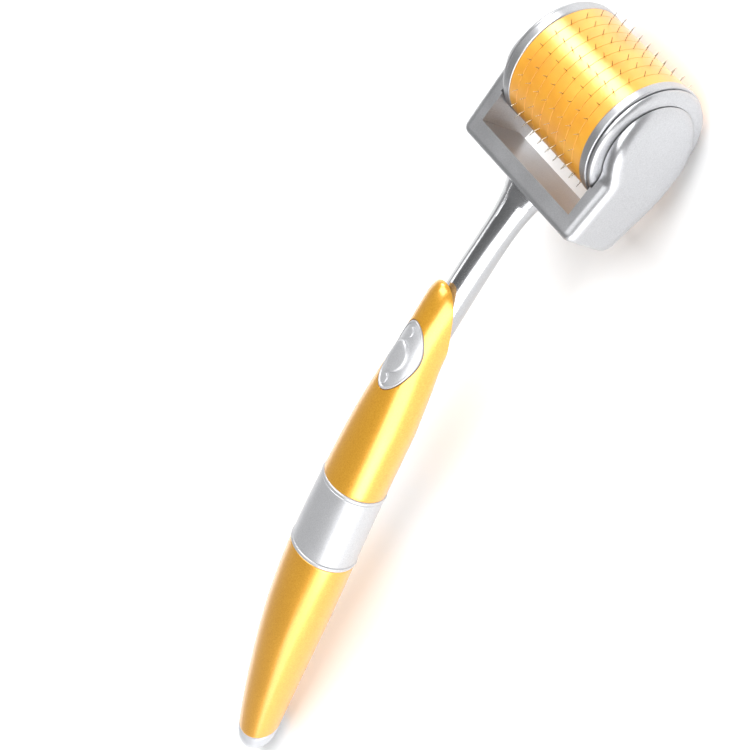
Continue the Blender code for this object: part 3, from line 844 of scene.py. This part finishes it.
def resin_material():
    material, nodes, links, shader = new_material("inner_resin_plain")
    grain = noise(nodes, links, 1800.0, 3.0)
    stops = [(0.3, (0.72, 0.72, 0.69)), (0.7, (0.84, 0.84, 0.82))]
    ramp(nodes, links, grain, stops, shader.inputs["Base Color"])
    span(nodes, links, grain, 0.42, 0.58, shader.inputs["Roughness"])
    bump(nodes, links, grain, 0.15, 0.00003, shader)
    return material


def pearl_material():
    material, nodes, links, shader = new_material("pearl_white_gloss")
    flake = noise(nodes, links, 900.0, 2.0, 0.5)
    stops = [(0.3, (0.56, 0.57, 0.6)), (0.7, (0.62, 0.63, 0.66))]
    ramp(nodes, links, flake, stops, shader.inputs["Base Color"])
    span(nodes, links, flake, 0.3, 0.36, shader.inputs["Roughness"])
    shader.inputs["Metallic"].default_value = 0.25
    shader.inputs["Coat Weight"].default_value = 0.5
    shader.inputs["Coat Roughness"].default_value = 0.1
    return material


def floor_material():
    material, nodes, links, shader = new_material("pale_floor")
    grain = noise(nodes, links, 40.0, 2.0)
    stops = [(0.0, (0.94, 0.94, 0.94)), (1.0, (0.96, 0.96, 0.96))]
    ramp(nodes, links, grain, stops, shader.inputs["Base Color"])
    shader.inputs["Roughness"].default_value = 0.9
    shader.inputs["Specular IOR Level"].default_value = 0.1
    return material


def dress_hidden_nodes(names, material):
    """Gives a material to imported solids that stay, because nothing replaces them."""
    for name in names:
        for place in frame["nodes"][name].material_slots:
            place.material = material


# ---------------------------------------------------------------- studio


def build_floor():
    shape = bmesh.new()
    bmesh.ops.create_grid(shape, x_segments=2, y_segments=2, size=FLOOR_HALF_SIZE)
    mesh = bpy.data.meshes.new("floor")
    shape.to_mesh(mesh)
    shape.free()
    floor = bpy.data.objects.new("floor", mesh)
    bpy.context.scene.collection.objects.link(floor)
    floor.location = (0.0, 0.0, cad_low.z)
    mesh.materials.append(floor_material())


def build_sky():
    """A grey world that is lighter near the ground than overhead."""
    world = bpy.data.worlds.new("studio")
    bpy.context.scene.world = world
    world.use_nodes = True
    nodes, links = world.node_tree.nodes, world.node_tree.links
    sky = nodes.new("ShaderNodeTexCoord")
    height = nodes.new("ShaderNodeSeparateXYZ")
    links.new(sky.outputs["Generated"], height.inputs["Vector"])
    stops = [(position, (grey, grey, grey)) for position, grey in SKY_GREYS]
    ramp(nodes, links, height.outputs["Z"], stops, nodes["Background"].inputs["Color"])


def softbox(name, direction, distance, width, height, radiance):
    """A soft rectangular light that faces the head from a direction, of a given radiance."""
    data = bpy.data.lights.new(name, "AREA")
    data.shape = "RECTANGLE"
    data.size = width
    data.size_y = height
    data.energy = radiance * math.pi * width * height
    light = bpy.data.objects.new(name, data)
    bpy.context.scene.collection.objects.link(light)
    aim = Vector(direction).normalized()
    light.location = aim * distance + LIGHTS_CENTRE
    light.rotation_euler = aim.to_track_quat("Z", "Y").to_euler()


def build_camera():
    data = bpy.data.cameras.new("camera")
    data.lens = CAMERA_LENS
    data.sensor_width = 36.0
    data.clip_start = 0.01
    camera = bpy.data.objects.new("camera", data)
    bpy.context.scene.collection.objects.link(camera)
    camera.location = CAMERA_LOCATION
    camera.rotation_euler = CAMERA_ROTATION
    bpy.context.scene.camera = camera


# ---------------------------------------------------------------- everything


satin = plating_material("satin_silver_plating", 0.54, 0.88, 0.3, 0.36)
polished = plating_material("polished_silver_plating", 0.5, 0.92, 0.13, 0.18)
matt = plating_material("matt_silver_plating", 0.57, 0.5, 0.36, 0.42)
pale = plating_material("pale_silver_plating", 0.62, 0.62, 0.36, 0.42)
handle_gold = handle_gold_material()
steel = steel_material()
resin = resin_material()

build_yoke(satin)
build_drum(drum_gold_material(), satin, steel)
build_neck(polished)
build_upper_shell(handle_gold)
build_inlay(matt)
build_band(pale)
build_lower_shell(handle_gold)
build_tail(pearl_material())

dress_hidden_nodes(["axle_pin", "thrust_washer_left", "thrust_washer_right", "tang_screw"], steel)
dress_hidden_nodes(["drum_hub", "drum_bushing_left", "drum_bushing_right"], resin)
dress_hidden_nodes(["tang_collar", "joining_spigot"], resin)

build_floor()
build_sky()
for softbox_name, settings in SOFTBOXES.items():
    softbox(softbox_name, *settings)
bpy.context.scene.view_settings.view_transform = "Standard"
build_camera()
